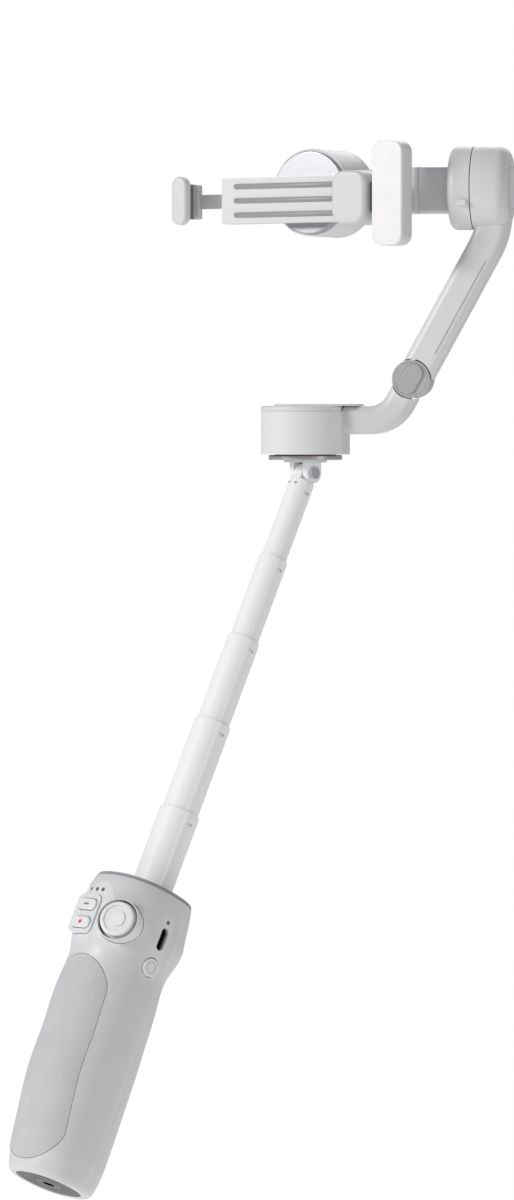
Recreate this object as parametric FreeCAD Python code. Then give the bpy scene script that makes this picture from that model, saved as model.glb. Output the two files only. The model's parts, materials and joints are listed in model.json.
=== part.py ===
import FreeCAD, Part
import math
import os

# A hand-held phone stabiliser on a five-stage telescopic pole. Millimetres and degrees throughout.
# "handle" frame: +Z up the handle and pole, -Y out through the controls, X along the head hinge.
# "head" frame: upright, origin under the middle of the pan motor, X in the plane of the arms.
# "clamp" frame: the head frame turned about Z, origin in the middle of the held screen, Y backwards.
# The part's own frame is upright too, with its origin at the mouth of the tripod socket.

V = FreeCAD.Vector
X_DIR, Y_DIR, Z_DIR = V(1, 0, 0), V(0, 1, 0), V(0, 0, 1)
CLEARANCE = 0.05
GAP = 0.3

# pose
pole_lean, lean_heading = 27.4, 53.7

# handle sections: height, half width, half depth, centre offset
handle_sections = [
    (0.0, 15.2, 15.8, 3.2), (1.0, 16.3, 16.9, 3.2), (2.8, 17.0, 17.6, 3.2), (8.7, 18.0, 19.0, 2.6),
    (18.8, 18.6, 20.1, 1.5), (32.6, 19.0, 21.1, 0.0), (46.0, 19.2, 21.6, -1.0), (59.0, 19.2, 21.2, -1.4),
    (71.0, 19.2, 21.2, -2.2), (82.0, 19.0, 20.6, -2.6), (92.0, 18.8, 20.0, -2.8), (98.0, 19.6, 21.5, -3.0),
    (103.5, 20.3, 23.0, -2.8), (110.0, 20.3, 23.4, -3.1), (115.6, 20.0, 22.4, -3.2), (120.5, 19.6, 21.5, -3.2),
    (124.7, 18.8, 20.5, -3.0), (126.2, 18.3, 19.9, -2.9),
]
handle_height = 126.2
rim_height = 124.8
control_face = -24.6
wall = 2.0
split_y = 6.0
socket_y = 3.0
tap_radius, socket_depth = 2.6, 8.0

# controls
stick_x, stick_y, stick_z, stick_turn = 13.2, -22.3, 105.8, 26.0
stick_radius, stick_pivot = 7.4, -3.4
button_x, mode_z, record_z = -4.6, 110.2, 102.4
button_length, button_width, button_travel = 10.6, 4.8, 0.5
led_first, led_pitch, led_z = -10.4, 3.6, 117.4
side_y, usb_z, lamp_z, power_z = -2.8, 106.3, 113.6, 93.9
power_radius = 3.9
trigger_half, trigger_bottom, trigger_top = 7.0, 99.5, 115.0
trigger_pin_y, trigger_pin_z = 15.5, 112.0
pad_half, pad_bottom, pad_top, pad_corner = 15.2, 4.5, 90.0, 14.8

# pole
stage_tops = [162.3, 202.8, 241.0, 278.3, 314.0]
stage_radius, stage_step, stage_wall = 8.38, 0.79, 0.71
stage_flat, stage_overlap = 1.0, 12.0
pole_socket_floor = 72.0
hinge_height = 318.9

# head
pin_drop = 5.5
lug_radius, tongue_half, cheek_outer = 4.2, 2.4, 5.2
pan_radius, pan_top, cover_top, plate_top = 18.6, 20.5, 22.6, 23.4
arm_width, arm_depth, arm_corner = 11.8, 15.0, 3.6
lower_arm_z = 16.65
arm_slope, bend_radius = 61.2, 14.0
knuckle_x, knuckle_z, knuckle_radius = 45.6, 33.8, 7.9
upper_arm_width, shoulder_radius = 14.1, 34.0
tilt_z, tilt_radius = 113.0, 17.3
tilt_left, tilt_split, rib_right = 61.6, 71.0, 86.8
bar_z, bar_half_height, bar_half_depth = 112.2, 9.6, 4.5

# clamp
clamp_turn, clamp_x, clamp_z = -22.0, -17.9, 109.0
left_grip, right_grip = -40.0, 38.1
phone_back = 8.6
roll_u, roll_z, roll_radius = 12.0, 3.2, 18.4
roll_front, roll_back = 18.6, 40.0
light_left, light_width, light_half_height, light_z = 54.4, 14.3, 21.5, 1.3


# ---------------------------------------------------------------- shapes

def box(x0, x1, y0, y1, z0, z1):
    return Part.makeBox(x1 - x0, y1 - y0, z1 - z0, V(x0, y0, z0))


def rod(radius, start, end):
    axis = end - start
    return Part.makeCylinder(radius, axis.Length, start, axis)


def ring(outer, inner, start, end):
    return rod(outer, start, end).cut(rod(inner, start, end))


def join(*solids):
    return solids[0].multiFuse(list(solids[1:])).removeSplitter()


def soft_rod(radius, start, end, edge, far_only=False):
    """A cylinder with rounded rims, or with only the rim at the end rounded."""
    solid = rod(radius, start, end)
    rims = [e for e in solid.Edges if e.Closed]
    if far_only:
        rims = [e for e in rims if (e.CenterOfMass - end).Length < 0.01]
    return solid.makeFillet(edge, rims)


def soft_box(x0, x1, y0, y1, z0, z1, edge):
    solid = box(x0, x1, y0, y1, z0, z1)
    return solid.makeFillet(edge, solid.Edges)


def rounded_face(half_a, half_b, corner):
    """Rounded rectangle in the XY plane around the origin."""
    plate = Part.makeBox(2 * half_a, 2 * half_b, 1, V(-half_a, -half_b, 0))
    uprights = [e for e in plate.Edges if abs(e.BoundBox.ZLength - 1) < 0.01]
    rounded = plate.makeFillet(corner, uprights)
    return min(rounded.Faces, key=lambda face: face.CenterOfMass.z)


def prism(half_a, half_b, corner, height, edge=0.0):
    """Rounded rectangle raised along +Z, its far rim rounded by edge."""
    solid = rounded_face(half_a, half_b, corner).extrude(V(0, 0, height))
    if edge:
        rim = [e for e in solid.Edges if abs(e.BoundBox.ZMin - height) < 1e-4]
        solid = solid.makeFillet(edge, rim)
    return solid


def placed(shape, position, rotation=None):
    copy = shape.copy()
    copy.Placement = FreeCAD.Placement(position, rotation or FreeCAD.Rotation()).multiply(copy.Placement)
    return copy


FORWARD = FreeCAD.Rotation(X_DIR, 90)
BACKWARD = FreeCAD.Rotation(X_DIR, -90)
RIGHTWARD = FreeCAD.Rotation(Y_DIR, 90)


def oval(half_width, half_depth, centre_y, z):
    """Closed smooth super-ellipse at height z."""
    points = []
    for step in range(28):
        angle = 2 * math.pi * (step + 0.5) / 28
        c, s = math.cos(angle), math.sin(angle)
        x = half_width * math.copysign(abs(c) ** 0.87, c)
        y = half_depth * math.copysign(abs(s) ** 0.87, s)
        points.append(V(x, centre_y + y, z))
    curve = Part.BSplineCurve()
    curve.interpolate(points, PeriodicFlag=True)
    return Part.Wire(curve.toShape())


# ---------------------------------------------------------------- frames

def local_frames():
    turn = FreeCAD.Rotation(Z_DIR, lean_heading - 90).multiply(FreeCAD.Rotation(X_DIR, -pole_lean))
    foot = turn.multVec(V(0, -socket_y, 0))
    pin = foot + turn.multVec(V(0, 0, hinge_height))
    head = pin + V(0, 0, pin_drop)
    return {
        "handle": FreeCAD.Placement(foot, turn),
        "head": FreeCAD.Placement(head, FreeCAD.Rotation()),
        "clamp": FreeCAD.Placement(head + V(clamp_x, 0, clamp_z), FreeCAD.Rotation(Z_DIR, clamp_turn)),
    }


FRAMES = local_frames()


def save(name, shape, frame):
    copy = shape.copy()
    copy.Placement = FRAMES[frame].multiply(copy.Placement)
    solids = copy.Solids
    result = solids[0] if len(solids) == 1 else Part.makeCompound(solids)
    result.exportStep("parts/" + name + ".step")
    print(name, len(solids), round(result.Volume / 1000, 3), result.isValid())
    return copy


# ---------------------------------------------------------------- handle

def handle_solid(inset):
    """The handle's outer form drawn in by inset all round."""
    wires = [oval(a - inset, b - inset, c, z) for z, a, b, c in handle_sections]
    solid = Part.makeLoft(wires, True, False)
    return solid.cut(box(-30, 30, -40, control_face + inset, -1, 140))


OUTER = handle_solid(0.0)


def stick_placement(depth):
    """On the joystick's axis, +Z outwards, depth below the handle's surface."""
    out = V(math.sin(math.radians(stick_turn)), -math.cos(math.radians(stick_turn)), 0)
    turn = FreeCAD.Rotation(Z_DIR, stick_turn).multiply(FORWARD)
    return FreeCAD.Placement(V(stick_x, stick_y, stick_z) - out * depth, turn)


def on_stick(shape, depth=0.0):
    copy = shape.copy()
    copy.Placement = stick_placement(depth).multiply(copy.Placement)
    return copy


def stage_solid(radius, low, high):
    solid = rod(radius, V(0, 0, low), V(0, 0, high))
    return solid.cut(box(-10, 10, radius - stage_flat, 12, low - 1, high + 1))


def pad_tool(half, low, high, corner):
    return placed(prism(half, (high - low) / 2, corner, 40), V(0, 0, (low + high) / 2), FORWARD)


def panel_tool(half_a, half_b, corner, depth, height):
    """A rounded block over the two push buttons, from depth inside the control face to height above it."""
    middle = (mode_z + record_z) / 2
    return placed(prism(half_a, half_b, corner, depth + height), V(button_x, control_face + depth, middle), FORWARD)


def pill(half_a, half_b, z, depth, height, edge=0.0):
    shape = prism(half_a, half_b, half_b - 0.01, depth + height, edge)
    return placed(shape, V(button_x, control_face + depth, z), FORWARD)


def side_rod(radius, z, low, high):
    return rod(radius, V(low, side_y, z), V(high, side_y, z))


def usb_slot(half_a, half_b, low, high):
    shape = prism(half_b, half_a, half_a - 0.01, high - low)
    return placed(shape, V(low, side_y, usb_z), RIGHTWARD)


def shell_openings():
    """Everything that passes through the handle's wall."""
    tools = [
        on_stick(rod(9.1, V(0, 0, -9), V(0, 0, 9))),
        panel_tool(6.7, 8.7, 3.0, 6, 3),
        side_rod(power_radius + GAP, power_z, 12, 26),
        side_rod(0.9, lamp_z, 12, 26),
        usb_slot(1.9, 4.8, 12, 26),
        box(-trigger_half - GAP, trigger_half + GAP, 11, 30, trigger_bottom - 1.4, trigger_top + 1.4),
    ]
    for index in range(4):
        x = led_first + led_pitch * index
        tools.append(rod(0.85, V(x, -18, led_z), V(x, -30, led_z)))
    return tools


def handle_shells():
    hollow = handle_solid(wall).common(box(-30, 30, -40, 40, 3.4, 122.4))
    shell = OUTER.cut(hollow)
    bottom_inlay = Part.Face(oval(12.9, 13.5, socket_y, -1)).extrude(V(0, 0, 3))
    top_inlay = box(-30, 30, -40, 40, rim_height - 0.1, 130)
    socket_hole = rod(6.3, V(0, socket_y, -1), V(0, socket_y, 5))
    pole_hole = rod(10.2, V(0, 0, 120), V(0, 0, 127))
    recess = pad_tool(pad_half + 0.2, pad_bottom - 0.2, pad_top + 0.2, pad_corner).cut(handle_solid(1.02))
    shell = shell.cut(Part.makeCompound([bottom_inlay, top_inlay, socket_hole, pole_hole, recess]))
    for tool in shell_openings():
        shell = shell.cut(tool)
    ears = trigger_ears()
    front = shell.common(box(-30, 30, -40, split_y, -2, 140))
    rear = shell.common(box(-30, 30, split_y, 40, -2, 140))
    pin_hole = rod(1.0, V(-9.3, trigger_pin_y, trigger_pin_z), V(9.3, trigger_pin_y, trigger_pin_z))
    rear = join(rear, ears).cut(pin_hole)
    save("handle_front_shell", front, "handle")
    save("handle_rear_shell", rear, "handle")


def trigger_ears():
    """Two lugs inside the rear shell that carry the trigger's pin."""
    lugs = []
    for side in (-1, 1):
        near = side * (trigger_half + GAP)
        far = side * 11.5
        low, high = min(near, far), max(near, far)
        lug = box(low, high, 12.2, 20, trigger_pin_z - 3, trigger_pin_z + 3)
        lugs.append(lug.common(handle_solid(1.0)))
    return Part.makeCompound(lugs)


def handle_fittings():
    pad = OUTER.cut(handle_solid(1.0)).common(pad_tool(pad_half, pad_bottom, pad_top, pad_corner))
    save("grip_pad", pad, "handle")
    cap = Part.Face(oval(12.7, 13.3, socket_y, 0)).extrude(V(0, 0, 2))
    save("bottom_cap", cap.cut(rod(6.3, V(0, socket_y, -1), V(0, socket_y, 3))), "handle")
    insert = rod(6.0, V(0, socket_y, 0), V(0, socket_y, 10))
    flange = rod(9.0, V(0, socket_y, 3.4), V(0, socket_y, 5))
    bore = rod(tap_radius, V(0, socket_y, -1), V(0, socket_y, socket_depth))
    save("tripod_insert", join(insert, flange).cut(bore), "handle")
    rim = OUTER.common(box(-30, 30, -40, 40, rim_height, 130))
    save("top_rim", rim.cut(stage_solid(stage_radius + 0.08, 124, 127)), "handle")


def pole_socket():
    tube = stage_solid(9.9, pole_socket_floor, rim_height - 0.1)
    tube = tube.cut(stage_solid(stage_radius + 0.08, pole_socket_floor + 2, 125))
    flange = ring(13.5, 9.0, V(0, 0, 120.9), V(0, 0, 122.4)).common(handle_solid(2.3))
    save("pole_socket", join(tube, flange), "handle")


def electronics():
    save("battery", soft_box(-12.5, 12.5, -11, 11, 10.0, 66, 1.5), "handle")
    board = box(-11, 11, -14.4, -12.9, 74, 119)
    foot = box(-6, 6, -12.9, -9.0, 76, 84).cut(rod(9.9, V(0, 0, 70), V(0, 0, 90)))
    post = box(-9.0, 0.5, -17.6, -14.4, 99, 102)
    save("main_board", join(board, foot, post), "handle")
    save("button_board", box(-11.6, 2.2, -18.6, -17.6, 97, 121), "handle")


def indicator_lights():
    save("battery_led", led(0), "handle")
    save("spare_leds", Part.makeCompound([led(index) for index in (1, 2, 3)]), "handle")
    lamp = side_rod(0.85, lamp_z, 17.0, 19.95)
    save("charge_lamp", lamp, "handle")


def led(index):
    x = led_first + led_pitch * index
    front = -3.2 - 21.6 * (1 - (abs(x) / 19.8) ** 2.3) ** 0.4348
    return rod(0.8, V(x, -18.6, led_z), V(x, front, led_z))


def button_panel():
    panel = panel_tool(6.5, 8.5, 2.8, 1.6, 0.7)
    for z in (mode_z, record_z):
        panel = panel.cut(pill(button_length / 2 + GAP, button_width / 2 + GAP, z, 8, 4))
    save("button_panel", panel, "handle")
    for name, z in (("mode_button", mode_z), ("record_button", record_z)):
        cap = pill(button_length / 2, button_width / 2, z, 2.4, 1.5, 0.5)
        stem = rod(1.2, V(button_x, -17.6 - 1.0 - button_travel - 0.1, z), V(button_x, control_face + 2, z))
        save(name, join(cap, stem), "handle")


def power_button():
    cap = soft_rod(power_radius, V(14.6, side_y, power_z), V(19.7, side_y, power_z), 0.5, True)
    save("power_button", cap, "handle")
    save("power_switch", box(10.2, 14.1, -12.9, side_y + 3, power_z - 3, power_z + 3), "handle")
    port = usb_slot(1.6, 4.5, 12.5, 19.2).cut(usb_slot(1.25, 4.15, 13.5, 20))
    tongue = box(13.2, 18.2, side_y - 0.35, side_y + 0.35, usb_z - 3.2, usb_z + 3.2)
    save("usb_port", join(port, tongue), "handle")


def joystick():
    base = ring(8.9, 8.3, V(0, 0, -6), V(0, 0, 1.2))
    floor = ring(8.9, 2.6, V(0, 0, -6.6), V(0, 0, -6))
    ears = [box(-8.4, -4.0, -1.2, 1.2, -6, -2.2), box(4.0, 8.4, -1.2, 1.2, -6, -2.2)]
    pins = rod(0.65, V(-8.0, 0, stick_pivot), V(8.0, 0, stick_pivot))
    base = join(base, floor, *ears).cut(pins)
    save("joystick_base", on_stick(base), "handle")
    yoke = ring(3.7, 2.5, V(0, 0, stick_pivot - 1), V(0, 0, stick_pivot + 1))
    left = rod(0.6, V(-5.4, 0, stick_pivot), V(-3.0, 0, stick_pivot))
    right = rod(0.6, V(3.0, 0, stick_pivot), V(5.4, 0, stick_pivot))
    holes = rod(0.65, V(0, -5, stick_pivot), V(0, 5, stick_pivot))
    save("joystick_yoke", on_stick(join(yoke, left, right).cut(holes)), "handle")
    cap = soft_rod(stick_radius - 0.2, V(0, 0, 0.2), V(0, 0, 2.8), 0.8)
    dish = ring(5.6, 3.4, V(0, 0, 2.3), V(0, 0, 4))
    stem = rod(1.3, V(0, 0, stick_pivot - 0.8), V(0, 0, 1))
    axle = rod(0.6, V(0, -3.2, stick_pivot), V(0, 3.2, stick_pivot))
    save("joystick_cap", on_stick(join(cap.cut(dish), stem, axle)), "handle")


def trigger():
    body = box(-trigger_half, trigger_half, 13.2, 20.9, trigger_bottom, trigger_top)
    edges = [e for e in body.Edges if e.BoundBox.YMin > 20.8]
    body = body.makeFillet(2.0, edges)
    ends = (V(-12, trigger_pin_y, trigger_pin_z), V(12, trigger_pin_y, trigger_pin_z))
    body = body.cut(rod(1.0 + CLEARANCE, *ends))
    hollow = box(-5.4, 5.4, 12, 19.2, trigger_bottom + 1.6, trigger_pin_z - 3)
    save("trigger", body.cut(hollow), "handle")
    pin = rod(1.0, V(-9.3, trigger_pin_y, trigger_pin_z), V(9.3, trigger_pin_y, trigger_pin_z))
    save("trigger_pin", pin, "handle")


# ---------------------------------------------------------------- pole

def pole():
    start = handle_height
    for index, top in enumerate(stage_tops):
        radius = stage_radius - stage_step * index
        low = start - stage_overlap
        tube = stage_solid(radius, low, top).cut(stage_solid(radius - stage_wall, low - 1, top + 1))
        dimple = placed(prism(0.6, 1.5, 0.59, 5), V(radius - 2, 0, top - 4.5), RIGHTWARD)
        save(f"pole_stage_{index + 1}", tube.cut(dimple), "handle")
        start = top


def pole_head():
    """The plug and tongue on top of the thinnest stage."""
    inner = stage_radius - 4 * stage_step - stage_wall
    top = stage_tops[-1]
    plug = stage_solid(inner, top - 14, top)
    collar = rod(5.15, V(0, 0, top), V(0, 0, top + 0.6))
    neck = box(-tongue_half, tongue_half, -lug_radius, lug_radius, top, hinge_height)
    eye = rod(lug_radius, V(-tongue_half, 0, hinge_height), V(tongue_half, 0, hinge_height))
    bore = rod(1.6 + CLEARANCE, V(-6, 0, hinge_height), V(6, 0, hinge_height))
    save("pole_head", join(plug, collar, neck, eye).cut(bore), "handle")


# ---------------------------------------------------------------- head

def turned_hinge(shape):
    return placed(shape, V(0, 0, 0), FreeCAD.Rotation(Z_DIR, lean_heading - 90))


def hinge_bracket():
    plate = rod(9.0, V(0, 0, -1.0), V(0, 0, 0))
    cheeks = []
    for side in (-1, 1):
        near, far = side * (tongue_half + 0.2), side * cheek_outer
        low, high = min(near, far), max(near, far)
        block = box(low, high, -lug_radius, lug_radius, -pin_drop, -1.0)
        cheeks.append(block)
        cheeks.append(rod(lug_radius, V(low, 0, -pin_drop), V(high, 0, -pin_drop)))
    bracket = join(plate, *cheeks).cut(rod(1.6, V(-8, 0, -pin_drop), V(8, 0, -pin_drop)))
    save("hinge_bracket", turned_hinge(bracket), "head")
    pin = join(
        rod(1.6, V(-cheek_outer, 0, -pin_drop), V(cheek_outer, 0, -pin_drop)),
        soft_rod(2.6, V(cheek_outer, 0, -pin_drop), V(cheek_outer + 1.0, 0, -pin_drop), 0.3, True),
        soft_rod(2.6, V(-cheek_outer, 0, -pin_drop), V(-cheek_outer - 1.0, 0, -pin_drop), 0.3, True))
    save("hinge_pin", turned_hinge(pin), "head")


def stator(name, near, far, frame):
    """Coils around the bearing in which the rotor's shaft turns; the bearing sits at the near end."""
    step = (far - near).normalize()
    coils = ring(12.8, 6.4, near, far)
    bearing = ring(6.1, 3.0 + CLEARANCE, near, near + step * 5)
    save(name, Part.makeCompound([coils, bearing]), frame)


def rotor(name, magnet, near, far, tip, outer, inner, frame):
    """Shaft with its flange at near and its end at tip, and the ring of magnets from near to far."""
    step = (tip - near).normalize()
    parts = [join(rod(3.0, near, tip), rod(6.0, near, near + step * 1.4)), ring(outer, inner, magnet, far)]
    save(name, Part.makeCompound(parts), frame)


def pan_motor():
    plate = soft_rod(15.4, V(0, 0, 0), V(0, 0, 2), 0.5)
    save("pan_base", plate, "head")
    stator("pan_stator", V(0, 0, 2), V(0, 0, 14), "head")
    rotor("pan_rotor", V(0, 0, 16), V(0, 0, 16), V(0, 0, 4), V(0, 0, 2.4), 16.3, 13.6, "head")
    cup = rod(pan_radius, V(0, 0, 2.4), V(0, 0, pan_top)).cut(rod(16.6, V(0, 0, 2), V(0, 0, 16)))
    arm = lower_arm().cut(rod(pan_radius - 0.5, V(0, 0, 0), V(0, 0, 30)))
    save("pan_housing", join(cup, arm), "head")
    cover = soft_rod(pan_radius, V(0, 0, pan_top), V(0, 0, cover_top), 0.8, True)
    save("pan_cover", cover.cut(box(pan_radius - 2.2, 30, -9, 9, 20, 24)), "head")
    plate = prism(18.8, 11.0, 10.9, plate_top - cover_top - 0.02, 0.3)
    save("pan_top_plate", placed(plate, V(5.8, 0, cover_top)), "head")


def arm_prism(width, depth, length):
    """A rounded bar that starts at the origin and runs along +X."""
    return placed(prism(width / 2, depth / 2, arm_corner, length), V(0, 0, 0), RIGHTWARD)


def slope_dir():
    a = math.radians(arm_slope)
    return V(math.cos(a), 0, math.sin(a))


def lower_arm():
    slope = slope_dir()
    rise = (knuckle_z - lower_arm_z) / slope.z
    corner = V(knuckle_x - slope.x * rise, 0, lower_arm_z)
    tangent = bend_radius * math.tan(math.radians(arm_slope / 2))
    start = corner - X_DIR * tangent
    finish = corner + slope * tangent
    level = arm_prism(arm_width, arm_depth, start.x)
    level = placed(level, V(0, 0, lower_arm_z))
    face = placed(rounded_face(arm_width / 2, arm_depth / 2, arm_corner), start, RIGHTWARD)
    bend = face.revolve(start + Z_DIR * bend_radius, V(0, -1, 0), arm_slope)
    rest = rise - tangent
    incline = placed(arm_prism(arm_width, arm_depth, rest), finish, FreeCAD.Rotation(V(0, -1, 0), arm_slope))
    arm = join(level, bend, incline)
    arm = arm.cut(rod(knuckle_radius + 0.5, V(knuckle_x, -20, knuckle_z), V(knuckle_x, 20, knuckle_z)))
    return arm.cut(lug_neck(-1, 0.0))


def lug_neck(direction, extra):
    """The part of a fold lug that sits in the arm: direction -1 for the lower arm and 1 for the upper."""
    y0, y1 = (-6.2, -1.2) if direction < 0 else (1.2, 6.2)
    neck = box(5.0, 15.0 + extra, y0, y1, -3.4, 3.4)
    angle = arm_slope + (180 if direction < 0 else 0)
    return placed(neck, V(knuckle_x, 0, knuckle_z), FreeCAD.Rotation(V(0, -1, 0), angle))


def fold_joint():
    centre = V(knuckle_x, 0, knuckle_z)
    half = arm_depth / 2
    bump = placed(prism(6.4, 3.7, 3.6, 0.9, 0.4), V(0, 0, 0), FORWARD)
    bump = placed(bump, centre + V(0, -half, 0), FreeCAD.Rotation(V(0, -1, 0), arm_slope))
    front = rod(knuckle_radius, centre + V(0, -half, 0), centre + V(0, -0.2, 0))
    front = join(front, lug_neck(-1, 0), bump).cut(rod(2.2, centre + V(0, -half + 1, 0), centre + V(0, 1, 0)))
    save("fold_lug_lower", front, "head")
    rear = rod(knuckle_radius, centre + V(0, 0.2, 0), centre + V(0, half, 0))
    rear = join(rear, lug_neck(1, 0)).cut(rod(2.2 + CLEARANCE, centre, centre + V(0, 10, 0)))
    save("fold_lug_upper", rear, "head")
    save("fold_pin", rod(2.2, centre + V(0, -half + 1, 0), centre + V(0, half - 0.6, 0)), "head")


def bent_bar(base, slope):
    """A rounded bar that climbs along slope from base and bends upright under the tilt motor."""
    climb = FreeCAD.Rotation(V(0, -1, 0), arm_slope)
    middle = rib_right - upper_arm_width / 2
    turn = 90 - arm_slope
    tangent = shoulder_radius * math.tan(math.radians(turn / 2))
    corner = base + slope * ((middle - base.x) / slope.x)
    start = corner - slope * tangent
    length = (start - base).Length
    incline = placed(arm_prism(upper_arm_width, arm_depth, length), base, climb)
    face = rounded_face(upper_arm_width / 2, arm_depth / 2, arm_corner)
    face = placed(placed(face, V(0, 0, 0), RIGHTWARD), start, climb)
    bend = face.revolve(start + V(-slope.z, 0, slope.x) * shoulder_radius, V(0, -1, 0), turn)
    top = corner.z + tangent
    upright = placed(prism(upper_arm_width / 2, arm_depth / 2, arm_corner, tilt_z - top), V(middle, 0, top))
    return join(incline, bend, upright)


def upper_arm():
    slope = slope_dir()
    bar = bent_bar(V(knuckle_x, 0, knuckle_z) + V(slope.z, 0, -slope.x) * 0.4, slope)
    drum = soft_rod(tilt_radius, V(tilt_split + 0.4, 0, tilt_z), V(rib_right, 0, tilt_z), 5.0, True)
    arm = join(bar, drum)
    arm = arm.cut(rod(15.3, V(60, 0, tilt_z), V(82, 0, tilt_z)))
    arm = arm.cut(rod(knuckle_radius + 0.5, V(knuckle_x, -20, knuckle_z), V(knuckle_x, 20, knuckle_z)))
    arm = arm.cut(box(rib_right - 1.2, rib_right + 2, -4.6, 4.6, tilt_z - 8.4, tilt_z + 8.4))
    save("upper_arm", arm.cut(lug_neck(1, 0)), "head")
    strip = placed(prism(8.2, 4.4, 1.2, 1.6, 0.4), V(rib_right - 1.2, 0, tilt_z), RIGHTWARD)
    save("upper_arm_cover", strip, "head")


def tilt_motor():
    left, right = V(64, 0, tilt_z), V(82, 0, tilt_z)
    stator("tilt_stator", right, V(68, 0, tilt_z), "head")
    rotor("tilt_rotor", left, left, V(71, 0, tilt_z), V(81.6, 0, tilt_z), 15.0, 13.2, "head")


def head_point(u, w, z):
    a = math.radians(clamp_turn)
    return V(clamp_x + u * math.cos(a) - w * math.sin(a), u * math.sin(a) + w * math.cos(a), clamp_z + z)


def roll_arm():
    drum = soft_rod(tilt_radius, V(tilt_split, 0, tilt_z), V(tilt_left, 0, tilt_z), 3.2, True)
    drum = drum.cut(rod(15.3, V(64, 0, tilt_z), V(75, 0, tilt_z)))
    low, high = bar_z - bar_half_height, bar_z + bar_half_height
    bar = box(46.0, 63.0, -bar_half_depth, bar_half_depth, low, high)
    edges = [e for e in bar.Edges if abs(e.BoundBox.XLength - 17) < 0.01]
    bar = bar.makeFillet(1.6, edges)
    start, finish = V(47.4, -0.6, bar_z), V(15.0, 26.6, bar_z)
    run = finish - start
    crank = box(-3.2, run.Length, -bar_half_depth, bar_half_depth, -bar_half_height, bar_half_height)
    edges = [e for e in crank.Edges if e.BoundBox.XLength > 5 or e.BoundBox.ZLength > 5]
    crank = crank.makeFillet(1.6, edges)
    crank = placed(crank, start, FreeCAD.Rotation(Z_DIR, math.degrees(math.atan2(run.y, run.x))))
    front, back = head_point(roll_u, roll_front, roll_z), head_point(roll_u, roll_back, roll_z)
    beyond = head_point(roll_u, roll_back + 4, roll_z)
    crank = crank.cut(rod(roll_radius - 0.5, front, back)).cut(rod(roll_radius + 6, back, beyond))
    can = rod(roll_radius, front, back).cut(rod(16.4, front, head_point(roll_u, roll_back - 2, roll_z)))
    nub = soft_box(66.0, 70.0, -17.9, -14, tilt_z - 7.6, tilt_z - 5.2, 0.3)
    nub = nub.cut(rod(tilt_radius - 0.5, V(60, 0, tilt_z), V(75, 0, tilt_z)))
    save("roll_arm", join(drum, bar, crank, can, nub), "head")
    cover = soft_rod(roll_radius, back, head_point(roll_u, roll_back + 1.8, roll_z), 0.9, True)
    save("roll_cover", cover, "head")


# ---------------------------------------------------------------- clamp

def roll_axis(w):
    return V(roll_u, w, roll_z)


def roll_motor():
    stator("roll_stator", roll_axis(38), roll_axis(24), "clamp")
    plate = roll_axis(18.2)
    rotor("roll_rotor", plate, plate, roll_axis(36), roll_axis(37.6), 15.6, 13.4, "clamp")
    save("roll_plate", soft_rod(17.4, roll_axis(16.6), roll_axis(18.2), 0.5), "clamp")


def clamp_base():
    frame = box(-26, right_grip + 6, phone_back, 15.4, -9.6, 9.6)
    frame = frame.cut(box(-22, 32, 10.4, 16, -8.1, 8.1))
    frame = frame.cut(box(-27, -21, 11.0, 13.8, -3.3, 3.3))
    block = placed(prism(8.0, 11.1, 5.5, 20.4, 1.6), V(44.0, 15.4, 0), FORWARD)
    slot = box(30, right_grip + 0.8, -1.6, 16, -12, 12)
    base = join(frame, block.cut(slot))
    for z in (-5.6, 5.6):
        base = base.cut(rod(1.5, V(-24.5, 13.0, z), V(34.5, 13.0, z)))
    save("clamp_base", base, "clamp")
    rails = [rod(1.5, V(-24.5, 13.0, z), V(34.5, 13.0, z)) for z in (-5.6, 5.6)]
    save("jaw_rails", Part.makeCompound(rails), "clamp")
    save("clamp_cover", box(-26, right_grip + 0.5, 15.4, 16.6, -9.6, 9.6), "clamp")
    save("fixed_jaw_pad", box(right_grip, right_grip + 0.8, -1.4, 8.4, -8.5, 8.5), "clamp")


def sliding_jaw():
    side = box(-43.0, left_grip - 0.8, -1.6, 14.2, -7.4, 7.4)
    lip = placed(prism(3.85, 10.2, 3.8, 3.4, 1.3), V(-39.15, -1.6, 0), FORWARD)
    back = soft_box(-43.0, -39, 10.6, 14.2, -7.4, 7.4, 1.0)
    arm = box(-42, -7, 11.3, 13.5, -3.0, 3.0)
    carriage = box(-8, 4, 10.7, 15.1, -7.8, 7.8)
    jaw = join(side, lip, back, arm, carriage)
    for z in (-5.6, 5.6):
        jaw = jaw.cut(rod(1.5 + CLEARANCE, V(-9, 13.0, z), V(5, 13.0, z)))
    save("sliding_jaw", jaw, "clamp")
    save("sliding_jaw_pad", box(left_grip - 0.8, left_grip, -1.4, 8.4, -7.2, 7.2), "clamp")


def fill_light():
    middle = light_left + light_width / 2
    body = prism(light_width / 2, light_half_height, 4.5, 8.4, 1.2)
    body = placed(body, V(middle, -1.9, light_z), BACKWARD)
    pocket = placed(prism(light_width / 2 - 1.2, light_half_height - 1.2, 3.4, 4), V(middle, -2.0, light_z), BACKWARD)
    save("light_housing", body.cut(pocket), "clamp")
    face = placed(prism(light_width / 2, light_half_height, 4.5, 1.1, 0.6), V(middle, -1.9, light_z), FORWARD)
    save("light_diffuser", face, "clamp")
    board = placed(prism(light_width / 2 - 1.6, light_half_height - 1.6, 3.0, 1.0), V(middle, 1.0, light_z), BACKWARD)
    save("light_board", board, "clamp")
    save("light_mount", box(52.0, light_left, 0.0, 5.0, -6, 6), "clamp")


def main():
    os.makedirs("parts", exist_ok=True)
    handle_shells()
    handle_fittings()
    pole_socket()
    electronics()
    indicator_lights()
    button_panel()
    power_button()
    joystick()
    trigger()
    pole()
    pole_head()
    hinge_bracket()
    pan_motor()
    fold_joint()
    upper_arm()
    tilt_motor()
    roll_arm()
    roll_motor()
    clamp_base()
    sliding_jaw()
    fill_light()


main()
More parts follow.
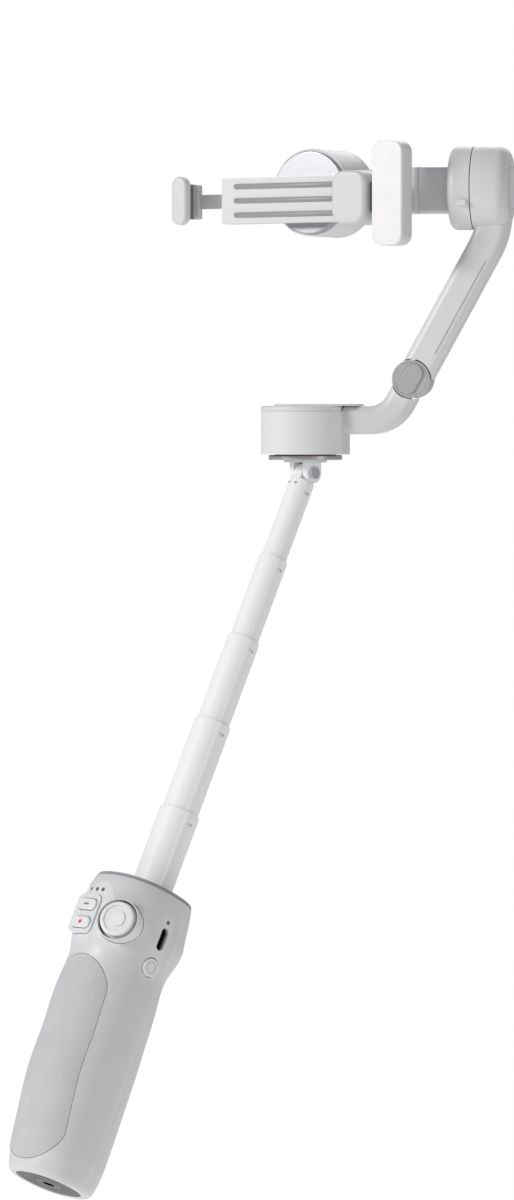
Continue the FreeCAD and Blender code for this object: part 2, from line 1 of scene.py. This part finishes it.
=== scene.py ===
import bpy
import bmesh
import json
import math
from mathutils import Matrix, Vector


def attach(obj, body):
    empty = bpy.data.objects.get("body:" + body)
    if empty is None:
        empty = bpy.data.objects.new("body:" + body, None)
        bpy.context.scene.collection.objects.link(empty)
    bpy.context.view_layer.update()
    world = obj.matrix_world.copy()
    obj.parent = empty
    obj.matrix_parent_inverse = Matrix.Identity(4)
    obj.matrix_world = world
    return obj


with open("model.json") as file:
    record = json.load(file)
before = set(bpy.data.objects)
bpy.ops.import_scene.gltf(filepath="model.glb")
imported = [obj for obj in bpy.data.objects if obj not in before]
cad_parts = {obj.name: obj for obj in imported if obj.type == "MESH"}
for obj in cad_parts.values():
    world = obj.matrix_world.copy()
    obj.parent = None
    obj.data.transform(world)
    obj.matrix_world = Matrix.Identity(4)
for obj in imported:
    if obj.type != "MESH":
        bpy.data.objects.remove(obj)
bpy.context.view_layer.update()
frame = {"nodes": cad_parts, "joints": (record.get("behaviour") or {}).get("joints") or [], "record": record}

MM = 0.001
MERGE_GAP = 1e-4

# handle frame, in millimetres
HINGE_HEIGHT = 318.9
BUTTON_ACROSS, BUTTON_FACE = -4.6, -26.08
MODE_HEIGHT, RECORD_HEIGHT = 110.2, 102.4
STICK_CENTRE, STICK_TURN = (13.2, -22.3, 105.8), 26
POWER_CENTRE = (19.66, -2.8, 93.9)
STAGE_TOPS = (162.3, 202.8, 241.0, 278.3)
STAGE_RADIUS, STAGE_STEP = 8.38, 0.79
LIP_INSET, LIP_THICKNESS = 0.36, 0.34
STAGE_PIN_ACROSS, STAGE_PIN_FACE, STAGE_PIN_HEIGHT = 1.7, -4.98, 312.1

# head frame, in millimetres
HEAD_RISE = 5.5
KNUCKLE_ACROSS, KNUCKLE_HEIGHT, KNUCKLE_FACE = 45.6, 33.8, 7.45
TILT_HEIGHT, TILT_FACE = 113.0, 86.8
PAN_SEAM_HEIGHT = 20.5
ARM_SLOPE, ARM_FACE = 61.2, -7.48
ARM_SEAM_ALONG, ARM_SEAM_BELOW = 36.0, -3.9
SEAM_THICKNESS = 0.13

# clamp frame, in millimetres
ROLL_AXIS = (12.0, 28.0, 3.2)
ROLL_SEAM_DEPTH = 40.0
LIGHT_MIDDLE, LIGHT_BACK, LIGHT_SWITCH_HEIGHT = 61.55, 6.5, 12.0
STRIP_ACROSS, STRIP_FACE, STRIP_HEIGHTS = 6.0, 8.62, (-6.0, 0.0, 6.0)
SCREW_FACE = 16.55
SCREW_SPOTS = ((-23.5, -7.2), (-23.5, 7.2), (35.5, -7.2), (35.5, 7.2))

# camera and studio, in metres and degrees
VIEW_TURN, VIEW_PITCH, VIEW_LENS = 10.0, 2.18, 157.5
VIEW_DISTANCE, VIEW_HEIGHT, VIEW_LEFT = 2.2, 0.315, 0.0203
LAMPS = (
    ("key", (-1.5, -1.1, 1.0), 0.5, 25.0),
    ("side", (1.5, -0.8, 0.5), 0.4, 3.0),
    ("back", (0.2, 1.6, 1.2), 1.0, 6.0),
)
LAMP_TARGET = (0.08, 0.08, 0.25)
SKY_COLOUR, SKY_STRENGTH = (0.97, 0.98, 1.0, 1), 0.42
FLOOR_REACH, FLOOR_LEVEL = 1.3, -0.25


# ---------------------------------------------------------------- local frames, read from the joints

def joint(name):
    return next(j for j in frame["joints"] if j["name"] == name)


def basis(x, y, z, origin):
    """Matrix whose columns are three unit directions and an origin in metres."""
    turn = Matrix((x, y, z)).transposed().to_4x4()
    return Matrix.Translation(origin) @ turn


def handle_frame():
    """Z up the pole from the handle's bottom face, Y backwards, X along the head hinge."""
    up = Vector(joint("pole_slide_1")["axis"]).normalized()
    side = Vector(joint("head_hinge")["axis"]).normalized()
    back = up.cross(side)
    pin = Vector(joint("head_hinge")["pos_m"])
    return basis(side, back, up, pin - up * HINGE_HEIGHT * MM)


def head_frame():
    """Upright, with its origin under the middle of the pan motor."""
    return Matrix.Translation(Vector(joint("head_hinge")["pos_m"]) + Vector((0, 0, HEAD_RISE * MM)))


def clamp_frame():
    """Y along the roll axis, pointing backwards, X across the held phone."""
    across = -Vector(joint("jaw_slide")["axis"]).normalized()
    back = Vector(joint("roll")["axis"]).normalized()
    up = Vector((0, 0, 1))
    roll = Vector(joint("roll")["pos_m"])
    offset = across * ROLL_AXIS[0] + back * ROLL_AXIS[1] + up * ROLL_AXIS[2]
    return basis(across, back, up, roll - offset * MM)


HANDLE = handle_frame()
HEAD = head_frame()
CLAMP = clamp_frame()


# ---------------------------------------------------------------- materials

def new_material(name):
    material = bpy.data.materials.new(name)
    material.use_nodes = True
    nodes = material.node_tree.nodes
    return material, nodes, material.node_tree.links, nodes["Principled BSDF"]


def noise_node(nodes, links, scale, detail=4.0, roughness=0.55):
    coords = nodes.new("ShaderNodeTexCoord")
    noise = nodes.new("ShaderNodeTexNoise")
    noise.inputs["Scale"].default_value = scale
    noise.inputs["Detail"].default_value = detail
    noise.inputs["Roughness"].default_value = roughness
    links.new(coords.outputs["Object"], noise.inputs["Vector"])
    return noise


def ramp_node(nodes, links, source, stops):
    """Colour ramp on source; stops is a list of (position, colour)."""
    ramp = nodes.new("ShaderNodeValToRGB")
    while len(ramp.color_ramp.elements) < len(stops):
        ramp.color_ramp.elements.new(0.5)
    for element, (position, colour) in zip(ramp.color_ramp.elements, stops):
        element.position = position
        element.color = colour
    links.new(source, ramp.inputs["Fac"])
    return ramp


def shade(colour, factor):
    return tuple(min(1.0, c * factor) for c in colour) + (1.0,)


def bump(nodes, links, height, strength, distance):
    node = nodes.new("ShaderNodeBump")
    node.inputs["Strength"].default_value = strength
    node.inputs["Distance"].default_value = distance
    links.new(height, node.inputs["Height"])
    return node


def highlight_edge_mask(nodes, links, low, high):
    """0 on flats, 1 on convex edges, where a highlight is painted."""
    geometry = nodes.new("ShaderNodeNewGeometry")
    mapped = nodes.new("ShaderNodeMapRange")
    mapped.inputs["From Min"].default_value = low
    mapped.inputs["From Max"].default_value = high
    links.new(geometry.outputs["Pointiness"], mapped.inputs["Value"])
    return mapped.outputs["Result"]


def mould(name, colour, rough, grain=2600.0, grain_depth=0.00002, mottle=0.03, coat=0.0, specular=0.45):
    """Moulded or painted surface: fine grain, slight mottling, and a painted highlight that lightens convex
    edges.
    """
    material, nodes, links, shader = new_material(name)
    cloud = noise_node(nodes, links, 55.0, 5.0)
    tint = ramp_node(nodes, links, cloud.outputs["Fac"], [
        (0.3, shade(colour, 1 - mottle)), (0.7, shade(colour, 1 + mottle * 0.5))])
    # convex edges are lightened by pointiness: a painted highlight
    painted_edge_highlight = nodes.new("ShaderNodeMixRGB")
    painted_edge_highlight.inputs["Color2"].default_value = shade(colour, 1.12)
    links.new(highlight_edge_mask(nodes, links, 0.53, 0.62), painted_edge_highlight.inputs["Fac"])
    links.new(tint.outputs["Color"], painted_edge_highlight.inputs["Color1"])
    links.new(painted_edge_highlight.outputs["Color"], shader.inputs["Base Color"])
    gloss = ramp_node(nodes, links, cloud.outputs["Fac"], [
        (0.25, shade((rough,) * 3, 0.88)), (0.75, shade((rough,) * 3, 1.1))])
    links.new(gloss.outputs["Color"], shader.inputs["Roughness"])
    fine = noise_node(nodes, links, grain, 2.0)
    links.new(bump(nodes, links, fine.outputs["Fac"], 0.35, grain_depth).outputs["Normal"],
              shader.inputs["Normal"])
    shader.inputs["Specular IOR Level"].default_value = specular
    shader.inputs["Coat Weight"].default_value = coat
    shader.inputs["Coat Roughness"].default_value = 0.2
    return material


def textured_grip(name, colour):
    """Soft inlay with a fine pebble of cells about 0.7 mm across."""
    material, nodes, links, shader = new_material(name)
    coords = nodes.new("ShaderNodeTexCoord")
    cells = nodes.new("ShaderNodeTexVoronoi")
    cells.inputs["Scale"].default_value = 1500.0
    links.new(coords.outputs["Object"], cells.inputs["Vector"])
    cloud = noise_node(nodes, links, 90.0, 6.0)
    tint = ramp_node(nodes, links, cloud.outputs["Fac"], [
        (0.3, shade(colour, 0.95)), (0.7, shade(colour, 1.03))])
    pits = ramp_node(nodes, links, cells.outputs["Distance"], [
        (0.0, (1, 1, 1, 1)), (0.75, (0.86, 0.86, 0.86, 1))])
    mixed = nodes.new("ShaderNodeMixRGB")
    mixed.blend_type = "MULTIPLY"
    mixed.inputs["Fac"].default_value = 0.8
    links.new(tint.outputs["Color"], mixed.inputs["Color1"])
    links.new(pits.outputs["Color"], mixed.inputs["Color2"])
    links.new(mixed.outputs["Color"], shader.inputs["Base Color"])
    shader.inputs["Roughness"].default_value = 0.72
    shader.inputs["Specular IOR Level"].default_value = 0.3
    links.new(bump(nodes, links, cells.outputs["Distance"], 0.5, 0.00008).outputs["Normal"],
              shader.inputs["Normal"])
    return material


def satin_metal(name, colour, rough, metallic, stretch):
    """Metal brushed or drawn along one of its axes, with faint streaks."""
    material, nodes, links, shader = new_material(name)
    coords = nodes.new("ShaderNodeTexCoord")
    mapping = nodes.new("ShaderNodeMapping")
    mapping.inputs["Scale"].default_value = stretch
    links.new(coords.outputs["Object"], mapping.inputs["Vector"])
    streak = nodes.new("ShaderNodeTexNoise")
    streak.inputs["Scale"].default_value = 800.0
    streak.inputs["Detail"].default_value = 3.0
    links.new(mapping.outputs["Vector"], streak.inputs["Vector"])
    tint = ramp_node(nodes, links, streak.outputs["Fac"], [
        (0.35, shade(colour, 0.96)), (0.65, shade(colour, 1.03))])
    gloss = ramp_node(nodes, links, streak.outputs["Fac"], [
        (0.3, shade((rough,) * 3, 0.85)), (0.7, shade((rough,) * 3, 1.15))])
    links.new(tint.outputs["Color"], shader.inputs["Base Color"])
    links.new(gloss.outputs["Color"], shader.inputs["Roughness"])
    links.new(bump(nodes, links, streak.outputs["Fac"], 0.15, 0.00001).outputs["Normal"],
              shader.inputs["Normal"])
    shader.inputs["Metallic"].default_value = metallic
    return material


def glowing(name, colour, strength, rough=0.35):
    """A frosted window lit from behind, a little brighter in soft patches."""
    material, nodes, links, shader = new_material(name)
    cloud = noise_node(nodes, links, 120.0, 2.0)
    tint = ramp_node(nodes, links, cloud.outputs["Fac"], [
        (0.2, shade(colour, 0.97)), (0.8, shade(colour, 1.03))])
    links.new(tint.outputs["Color"], shader.inputs["Base Color"])
    links.new(tint.outputs["Color"], shader.inputs["Emission Color"])
    shader.inputs["Emission Strength"].default_value = strength
    shader.inputs["Roughness"].default_value = rough
    shader.inputs["Coat Weight"].default_value = 0.3
    return material


def wound_copper(name):
    """Enamelled wire laid in fine turns, its copper colour darkened in the grooves between turns as painted
    shade.
    """
    material, nodes, links, shader = new_material(name)
    coords = nodes.new("ShaderNodeTexCoord")
    wave = nodes.new("ShaderNodeTexWave")
    wave.inputs["Scale"].default_value = 900.0
    wave.inputs["Distortion"].default_value = 1.0
    links.new(coords.outputs["Object"], wave.inputs["Vector"])
    # copper runs dark in the low grooves of the wave and light on the crowns: painted shade and highlight
    # over the wire's own colour
    tint = ramp_node(nodes, links, wave.outputs["Fac"], [
        (0.2, (0.22, 0.08, 0.03, 1)), (0.8, (0.62, 0.28, 0.13, 1))])
    links.new(tint.outputs["Color"], shader.inputs["Base Color"])
    turns = bump(nodes, links, wave.outputs["Fac"], 0.6, 0.0001)
    links.new(turns.outputs["Normal"], shader.inputs["Normal"])
    shader.inputs["Metallic"].default_value = 0.7
    shader.inputs["Roughness"].default_value = 0.38
    return material


def circuit(name):
    """Green solder mask over a faint grid of tracks."""
    material, nodes, links, shader = new_material(name)
    coords = nodes.new("ShaderNodeTexCoord")
    brick = nodes.new("ShaderNodeTexBrick")
    brick.inputs["Scale"].default_value = 260.0
    brick.inputs["Color1"].default_value = (0.015, 0.11, 0.045, 1)
    brick.inputs["Color2"].default_value = (0.02, 0.14, 0.06, 1)
    brick.inputs["Mortar"].default_value = (0.05, 0.22, 0.09, 1)
    links.new(coords.outputs["Object"], brick.inputs["Vector"])
    links.new(brick.outputs["Color"], shader.inputs["Base Color"])
    shader.inputs["Roughness"].default_value = 0.32
    return material


def make_materials():
    body = (0.63, 0.63, 0.64)
    return {
        "body_grey": mould("body plastic", body, 0.42, mottle=0.015),
        "arm_grey": mould("arm plastic", body, 0.40, mottle=0.015),
        "cover_grey": mould("cover plastic", (0.65, 0.65, 0.66), 0.38, mottle=0.015),
        "grip_grey": textured_grip("grip elastomer", (0.57, 0.57, 0.58)),
        "dark_grey": mould("dark plastic", (0.075, 0.075, 0.08), 0.5, mottle=0.08),
        "rim_grey": mould("rim plastic", (0.30, 0.30, 0.31), 0.42, mottle=0.03),
        "socket_black": satin_metal("blackened steel", (0.06, 0.06, 0.065), 0.36, 0.8, (1, 1, 12)),
        "battery_wrap": mould("battery wrap", (0.03, 0.10, 0.28), 0.28, mottle=0.06, coat=0.3),
        "circuit_board": circuit("circuit board"),
        "switch_black": mould("switch plastic", (0.02, 0.02, 0.022), 0.45, mottle=0.1),
        "led_lit": glowing("lit lamp", (0.10, 0.86, 0.28), 2.2),
        "led_unlit": glowing("unlit lamp", (0.10, 0.10, 0.105), 0.0),
        "button_grey": mould("button plastic", (0.76, 0.76, 0.77), 0.36, mottle=0.012),
        "steel": satin_metal("brushed steel", (0.62, 0.62, 0.64), 0.28, 1.0, (1, 1, 14)),
        "pole_white": satin_metal("white pole", (0.88, 0.88, 0.885), 0.30, 0.0, (14, 14, 1)),
        "head_white": mould("white metal", (0.76, 0.76, 0.77), 0.30, mottle=0.01, coat=0.2),
        "motor_grey": satin_metal("motor plate", (0.42, 0.42, 0.44), 0.34, 0.6, (6, 6, 1)),
        "coil_copper": wound_copper("copper winding"),
        "magnet_steel": satin_metal("plated steel", (0.50, 0.50, 0.52), 0.25, 1.0, (1, 1, 10)),
        "knuckle_grey": mould("knuckle plastic", (0.42, 0.42, 0.43), 0.38, mottle=0.02),
        "pad_rubber": textured_grip("jaw rubber", (0.20, 0.20, 0.215)),
        "magnet_mount": mould("mount plastic", (0.10, 0.10, 0.11), 0.45, mottle=0.06),
        "diffuser_white": glowing("light diffuser", (0.80, 0.775, 0.77), 0.03),
    }


MATERIALS = make_materials()


def dress_cad():
    """Gives every CAD node the material of its slot."""
    for row in frame["record"]["subparts"]:
        mesh = frame["nodes"][row["node"]].data
        mesh.materials.clear()
        mesh.materials.append(MATERIALS[row["material_slot"]])


# ---------------------------------------------------------------- detail pieces

def piece(name, build, place, body, slot, material=None):
    """Makes a mesh with build(bm) in millimetres, puts it in place and lets it ride on a body."""
    bm = bmesh.new()
    build(bm)
    bmesh.ops.remove_doubles(bm, verts=bm.verts, dist=MERGE_GAP)
    bmesh.ops.scale(bm, vec=(MM, MM, MM), verts=bm.verts)
    bmesh.ops.transform(bm, matrix=place, verts=bm.verts)
    bmesh.ops.recalc_face_normals(bm, faces=bm.faces)
    mesh = bpy.data.meshes.new(name)
    bm.to_mesh(mesh)
    bm.free()
    for polygon in mesh.polygons:
        polygon.use_smooth = True
    mesh.materials.append(material or MATERIALS[slot])
    item = bpy.data.objects.new(name, mesh)
    bpy.context.scene.collection.objects.link(item)
    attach(item, body)
    return item


def loop_of(points):
    """A solid skin through rings of points, closed at both ends unless the last ring meets the first."""
    def build(bm):
        rings = [[bm.verts.new(p) for p in row] for row in points]
        count = len(rings[0])
        for index in range(len(rings) - 1):
            for k in range(count):
                n = (k + 1) % count
                bm.faces.new((rings[index][k], rings[index][n], rings[index + 1][n], rings[index + 1][k]))
        if (Vector(points[0][0]) - Vector(points[-1][0])).length > 1e-6:
            bm.faces.new(rings[0])
            bm.faces.new(rings[-1])
    return build


def circle(radius, z, count=48):
    return [(radius * math.cos(2 * math.pi * k / count), radius * math.sin(2 * math.pi * k / count), z)
            for k in range(count)]


def lathe(profile, count=48):
    """A closed turned solid from (radius, height) pairs."""
    return loop_of([circle(r, z, count) for r, z in profile])


def bead(radius, thickness, count=96, turns=10):
    """A thin round-section ring in the XY plane."""
    def build(bm):
        rows = []
        for k in range(count):
            a = 2 * math.pi * k / count
            row = []
            for t in range(turns):
                b = 2 * math.pi * t / turns
                r = radius + thickness * math.cos(b)
                row.append(bm.verts.new((r * math.cos(a), r * math.sin(a), thickness * math.sin(b))))
            rows.append(row)
        for k in range(count):
            nxt = rows[(k + 1) % count]
            for t in range(turns):
                u = (t + 1) % turns
                bm.faces.new((rows[k][t], rows[k][u], nxt[u], nxt[t]))
    return build


def obround(length, width, height, crown=0.0, count=12):
    """A rounded bar standing on the XY plane, its top edge drawn in by crown."""
    def outline(scale_in, z):
        radius = width / 2 - scale_in
        reach = length / 2 - width / 2
        points = []
        for side, start in ((1, -90), (-1, 90)):
            for k in range(count + 1):
                a = math.radians(start + 180 * k / count)
                points.append((side * reach + radius * math.cos(a), radius * math.sin(a), z))
        return points
    return loop_of([outline(0, 0), outline(0, height - crown), outline(crown, height)])


def rotation(axis, degrees):
    return Matrix.Rotation(math.radians(degrees), 4, axis)


def at(x, y, z):
    return Matrix.Translation(Vector((x, y, z)) * MM)


FRONT = rotation("X", 90)
BACK = rotation("X", -90)
RIGHT = rotation("Y", 90)


def screw_head():
    """A pan-head screw with a recess in its crown."""
    return lathe([(0.75, 0.0), (0.75, 0.18), (0.55, 0.34), (0.3, 0.34), (0.26, 0.12), (0.01, 0.12)], 24)


def pin_head():
    """The domed end of a small pin."""
    return lathe([(0.55, 0.0), (0.55, 0.16), (0.36, 0.3), (0.01, 0.3)], 24)


def button_details():
    """A plain bar on the mode button and a plain red dot on the record button."""
    bar = obround(3.0, 0.8, 0.1, 0.04)
    dot = lathe([(0.85, 0.0), (0.85, 0.08), (0.7, 0.12), (0.01, 0.12)], 32)
    grey_ink = mould("grey ink", (0.20, 0.20, 0.21), 0.5, mottle=0.02)
    red_ink = mould("red ink", (0.75, 0.05, 0.05), 0.5, mottle=0.02)
    for name, shape, ink, height in (
        ("mode", bar, grey_ink, MODE_HEIGHT), ("record", dot, red_ink, RECORD_HEIGHT)):
        place = HANDLE @ at(BUTTON_ACROSS, BUTTON_FACE, height) @ FRONT
        piece(name + "_mark", shape, place, name + "_button", "switch_black", ink)


def joystick_details():
    """The raised lip round the well, and the dust skirt under the cap."""
    turn = HANDLE @ at(*STICK_CENTRE) @ rotation("Z", STICK_TURN) @ FRONT
    collar = bead(8.6, 0.3)
    piece("joystick_collar", collar, turn @ at(0, 0, 1.1), "handle", "body_grey")
    skirt = lathe([(6.6, 0.25), (7.8, -0.6), (7.8, -0.85), (6.3, -0.05), (6.6, 0.25)], 64)
    piece("joystick_skirt", skirt, turn, "joystick_cap", "button_grey")


def power_details():
    """The printed ring on the power button."""
    place = HANDLE @ at(*POWER_CENTRE) @ RIGHT
    piece("power_ring", bead(2.3, 0.1), place, "power_button", "dark_grey")


def motor_details():
    """Seams round the motors' covers and the two faces of the fold joint."""
    roll_seam = CLAMP @ at(ROLL_AXIS[0], ROLL_SEAM_DEPTH, ROLL_AXIS[2]) @ FRONT
    front = HEAD @ at(KNUCKLE_ACROSS, -KNUCKLE_FACE, KNUCKLE_HEIGHT) @ FRONT
    rear = HEAD @ at(KNUCKLE_ACROSS, KNUCKLE_FACE, KNUCKLE_HEIGHT) @ FRONT
    for name, radius, place, body in (
        ("pan_cover_seam", 18.52, HEAD @ at(0, 0, PAN_SEAM_HEIGHT), "lower_arm"),
        ("tilt_cover_seam", 12.0, HEAD @ at(TILT_FACE, 0, TILT_HEIGHT) @ RIGHT, "upper_arm"),
        ("roll_cover_seam", 18.32, roll_seam, "roll_arm"),
        ("fold_front_ring", 7.0, front, "lower_arm"),
        ("fold_rear_ring", 7.0, rear, "upper_arm")):
        piece(name, bead(radius, SEAM_THICKNESS), place, body, "rim_grey")


def pole_details():
    """Pins through the top of the thinnest stage, and a rolled lip on each of the others."""
    for name, across in (("left", -STAGE_PIN_ACROSS), ("right", STAGE_PIN_ACROSS)):
        place = HANDLE @ at(across, STAGE_PIN_FACE, STAGE_PIN_HEIGHT) @ FRONT
        piece(f"stage_pin_{name}", pin_head(), place, "pole_stage_5", "motor_grey")
    for index, top in enumerate(STAGE_TOPS):
        lip = bead(STAGE_RADIUS - STAGE_STEP * index - LIP_INSET, LIP_THICKNESS)
        stage = index + 1
        piece(f"stage_rim_{stage}", lip, HANDLE @ at(0, 0, top), f"pole_stage_{stage}", "pole_white")


def arm_details():
    """Parting line along the front of the upper arm."""
    turn = HEAD @ at(KNUCKLE_ACROSS, ARM_FACE, KNUCKLE_HEIGHT) @ rotation("Y", -ARM_SLOPE)
    groove = obround(44.0, 0.35, 0.12, 0.04)
    place = turn @ at(ARM_SEAM_ALONG, 0, ARM_SEAM_BELOW) @ FRONT
    piece("upper_arm_seam", groove, place, "upper_arm", "rim_grey")


def clamp_details():
    """Rubber strips on the plate behind the phone, and screws that hold the rails' cover."""
    strip = obround(52.0, 2.2, 0.55, 0.25)
    for index, height in enumerate(STRIP_HEIGHTS):
        place = CLAMP @ at(STRIP_ACROSS, STRIP_FACE, height) @ FRONT
        piece(f"rest_strip_{index}", strip, place, "clamp", "rim_grey")
    for index, (across, height) in enumerate(SCREW_SPOTS):
        place = CLAMP @ at(across, SCREW_FACE, height) @ BACK
        piece(f"cover_screw_{index}", screw_head(), place, "clamp", "steel")


def light_details():
    """The slide switch on the back of the light."""
    place = CLAMP @ at(LIGHT_MIDDLE, LIGHT_BACK, LIGHT_SWITCH_HEIGHT) @ BACK
    shape = obround(6.0, 3.2, 0.5, 0.2)
    piece("light_switch", shape, place, "clamp", "button_grey")


# ---------------------------------------------------------------- studio

def camera():
    """Nearly level, from a little to the right of the front."""
    turn = math.radians(VIEW_TURN)
    out = Vector((math.sin(turn), -math.cos(turn), 0))
    right = Vector((math.cos(turn), math.sin(turn), 0))
    pin = Vector(joint("head_hinge")["pos_m"])
    eye = Vector((pin.x, pin.y, VIEW_HEIGHT)) + out * VIEW_DISTANCE - right * VIEW_LEFT
    pitch = math.radians(VIEW_PITCH)
    look = -out * math.cos(pitch) - Vector((0, 0, 1)) * math.sin(pitch)
    data = bpy.data.cameras.new("camera")
    data.lens = VIEW_LENS
    data.sensor_width = 36.0
    data.clip_start = 0.1
    data.clip_end = 20.0
    eye_object = bpy.data.objects.new("camera", data)
    eye_object.location = eye
    eye_object.rotation_mode = "QUATERNION"
    eye_object.rotation_quaternion = look.to_track_quat("-Z", "Y")
    bpy.context.scene.collection.objects.link(eye_object)
    bpy.context.scene.camera = eye_object


def area_light(name, location, target, size, power):
    data = bpy.data.lights.new(name, "AREA")
    data.shape = "DISK"
    data.size = size
    data.energy = power
    lamp = bpy.data.objects.new(name, data)
    lamp.location = location
    aim = Vector(target) - Vector(location)
    lamp.rotation_mode = "QUATERNION"
    lamp.rotation_quaternion = aim.to_track_quat("-Z", "Y")
    bpy.context.scene.collection.objects.link(lamp)


def lights():
    for name, location, size, power in LAMPS:
        area_light(name, location, LAMP_TARGET, size, power)


def backdrop():
    """A white sky for the camera and a softer one for the light."""
    world = bpy.data.worlds.new("studio")
    world.use_nodes = True
    nodes, links = world.node_tree.nodes, world.node_tree.links
    light = nodes["Background"]
    light.inputs["Color"].default_value = SKY_COLOUR
    light.inputs["Strength"].default_value = SKY_STRENGTH
    white = nodes.new("ShaderNodeBackground")
    white.inputs["Color"].default_value = (1, 1, 1, 1)
    white.inputs["Strength"].default_value = 1.0
    path = nodes.new("ShaderNodeLightPath")
    mix = nodes.new("ShaderNodeMixShader")
    links.new(path.outputs["Is Camera Ray"], mix.inputs["Fac"])
    links.new(light.outputs["Background"], mix.inputs[1])
    links.new(white.outputs["Background"], mix.inputs[2])
    links.new(mix.outputs["Shader"], nodes["World Output"].inputs["Surface"])
    bpy.context.scene.world = world
    bpy.context.scene.view_settings.view_transform = "Standard"


def floor_disc():
    """A pale floor below the object, out of the main view."""
    floor_mesh = bpy.data.meshes.new("floor")
    corners = [(x, y, FLOOR_LEVEL) for x, y, _ in circle(FLOOR_REACH, 0.0, 96)]
    floor_mesh.from_pydata(corners, [], [tuple(range(len(corners)))])
    floor_mesh.materials.append(glowing("floor paint", (0.92, 0.92, 0.92), 0.35, 0.9))
    floor = bpy.data.objects.new("floor", floor_mesh)
    bpy.context.scene.collection.objects.link(floor)


dress_cad()
button_details()
joystick_details()
power_details()
motor_details()
pole_details()
arm_details()
clamp_details()
light_details()
camera()
lights()
backdrop()
floor_disc()
